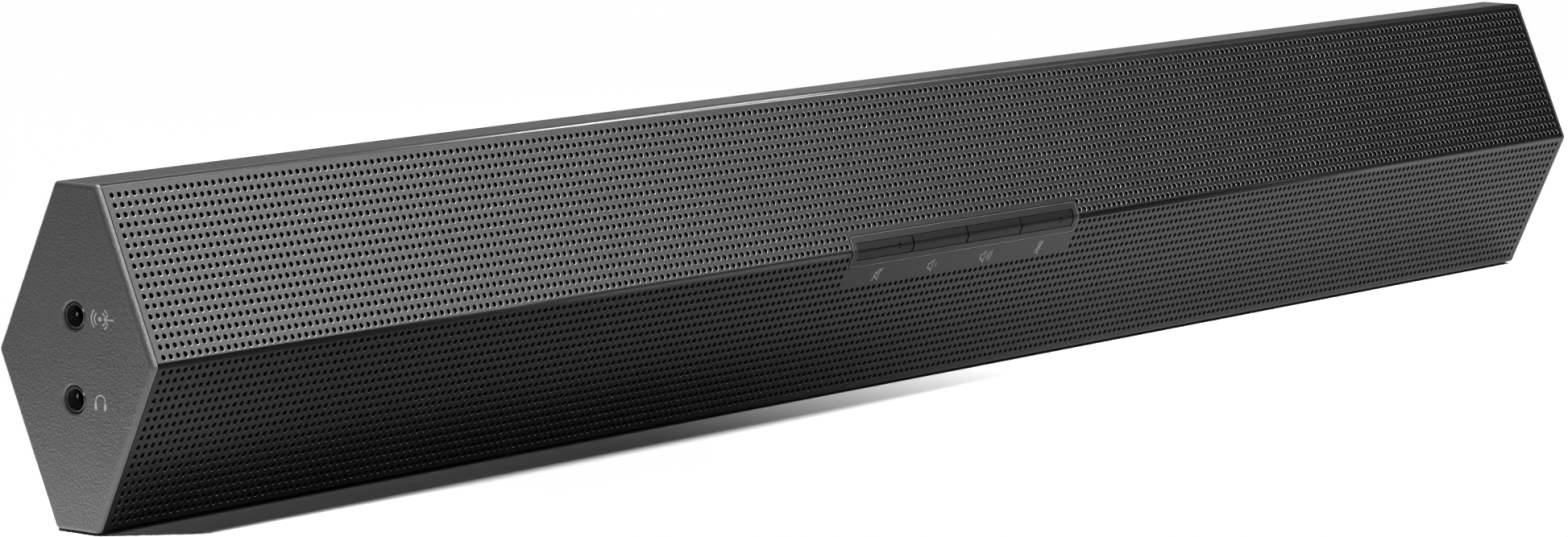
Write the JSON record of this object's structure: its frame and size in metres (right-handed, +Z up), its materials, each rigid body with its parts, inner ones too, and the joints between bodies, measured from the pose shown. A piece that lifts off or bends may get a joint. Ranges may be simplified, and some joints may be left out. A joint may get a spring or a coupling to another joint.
{
  "type": "soundbar",
  "caption": "Slim six-sided desktop soundbar with a folded perforated front, a button strip on the front ridge, audio jacks in one end and a USB inlet at the rear.",
  "frame": {"origin": "on the surface the feet stand on, under the middle of the bar", "axes": "+X along the bar, with the jack end at -X; -Y is the perforated front; +Z is up"},
  "size_m": [0.437, 0.0329, 0.0554],
  "materials": {
    "grille_metal": "dark grey satin powder coat on folded perforated sheet",
    "cloth": "black acoustic cloth",
    "housing_plastic": "fine spark-textured dark grey",
    "bezel_plastic": "satin dark grey",
    "button_plastic": "satin dark grey",
    "indicator_window": "smoked gloss",
    "inner_plastic": "plain black",
    "circuit_board": "green solder mask on glass fibre",
    "component": "black moulded",
    "led_lens": "clear",
    "jack_plastic": "black moulded",
    "contact_metal": "plated spring",
    "socket_metal": "plated shell",
    "screw_steel": "zinc plated",
    "motor_steel": "zinc plated",
    "magnet": "nickel plated neodymium",
    "basket_metal": "black coated",
    "foam": "closed-cell foam",
    "cone_paper": "black pulp",
    "coil": "enamelled wire on a former",
    "rubber": "soft black",
    "spider_cloth": "resin-dipped cloth",
    "weight_steel": "plated",
    "lead_jacket": "flexible jacket"
  },
  "bodies": {
    "bar": {"acoustic_cloth": "cloth", "baffle_screws": "screw_steel", "button_bezel": "bezel_plastic", "button_board": "circuit_board", "button_board_screws": "screw_steel", "button_cable": "component", "driver_baskets": "basket_metal", "driver_gaskets": "foam", "driver_magnets": "magnet", "driver_top_plates": "motor_steel", "driver_yokes": "motor_steel", "front_baffle": "inner_plastic", "front_grille": "grille_metal", "headphone_jack": "jack_plastic", "indicator_leds": "led_lens", "jack_board": "circuit_board", "jack_board_screws": "screw_steel", "jack_contacts": "contact_metal", "jack_lead": "lead_jacket", "left_end_cap": "housing_plastic", "left_passive_diaphragm": "rubber", "left_spider": "spider_cloth", "left_surround": "rubber", "line_in_jack": "jack_plastic", "main_board": "circuit_board", "main_board_components": "component", "main_board_screws": "screw_steel", "microphone_boots": "rubber", "microphones": "component", "passive_frames": "inner_plastic", "rear_housing": "housing_plastic", "right_end_cap": "housing_plastic", "right_passive_diaphragm": "rubber", "right_spider": "spider_cloth", "right_surround": "rubber", "rubber_feet": "rubber", "speaker_leads": "lead_jacket", "tact_switch_bodies": "inner_plastic", "usb_socket": "socket_metal"},
    "mute_button": {"mute_button": "button_plastic", "mute_indicator": "indicator_window", "mute_switch_plunger": "inner_plastic"},
    "volume_down_button": {"volume_down_button": "button_plastic", "volume_down_switch_plunger": "inner_plastic"},
    "volume_up_button": {"volume_up_button": "button_plastic", "volume_up_switch_plunger": "inner_plastic"},
    "microphone_mute_button": {"microphone_mute_button": "button_plastic", "microphone_mute_indicator": "indicator_window", "microphone_mute_switch_plunger": "inner_plastic"},
    "left_cone": {"left_cone": "cone_paper", "left_dust_cap": "cone_paper", "left_voice_coil": "coil"},
    "right_cone": {"right_cone": "cone_paper", "right_dust_cap": "cone_paper", "right_voice_coil": "coil"},
    "left_passive_weight": {"left_passive_weight": "weight_steel"},
    "right_passive_weight": {"right_passive_weight": "weight_steel"}
  },
  "joints": [
    {"name": "mute_press", "type": "slide", "parent": "bar", "child": "mute_button", "axis": [0, 1, 0], "range_m": [0, 0.0003], "stiffness_N_per_m": 4000},
    {"name": "volume_down_press", "type": "slide", "parent": "bar", "child": "volume_down_button", "axis": [0, 1, 0], "range_m": [0, 0.0003], "stiffness_N_per_m": 4000},
    {"name": "volume_up_press", "type": "slide", "parent": "bar", "child": "volume_up_button", "axis": [0, 1, 0], "range_m": [0, 0.0003], "stiffness_N_per_m": 4000},
    {"name": "microphone_mute_press", "type": "slide", "parent": "bar", "child": "microphone_mute_button", "axis": [0, 1, 0], "range_m": [0, 0.0003], "stiffness_N_per_m": 4000},
    {"name": "left_cone_travel", "type": "slide", "parent": "bar", "child": "left_cone", "axis": [0, 1, 0], "range_m": [-0.001, 0.001], "stiffness_N_per_m": 1500, "deforming": ["left_surround", "left_spider"]},
    {"name": "left_passive_travel", "type": "slide", "parent": "bar", "child": "left_passive_weight", "axis": [0, 1, 0], "range_m": [-0.001, 0.001], "stiffness_N_per_m": 1500, "deforming": ["left_passive_diaphragm"]},
    {"name": "right_cone_travel", "type": "slide", "parent": "bar", "child": "right_cone", "axis": [0, 1, 0], "range_m": [-0.001, 0.001], "stiffness_N_per_m": 1500, "deforming": ["right_surround", "right_spider"]},
    {"name": "right_passive_travel", "type": "slide", "parent": "bar", "child": "right_passive_weight", "axis": [0, 1, 0], "range_m": [-0.001, 0.001], "stiffness_N_per_m": 1500, "deforming": ["right_passive_diaphragm"]}
  ]
}
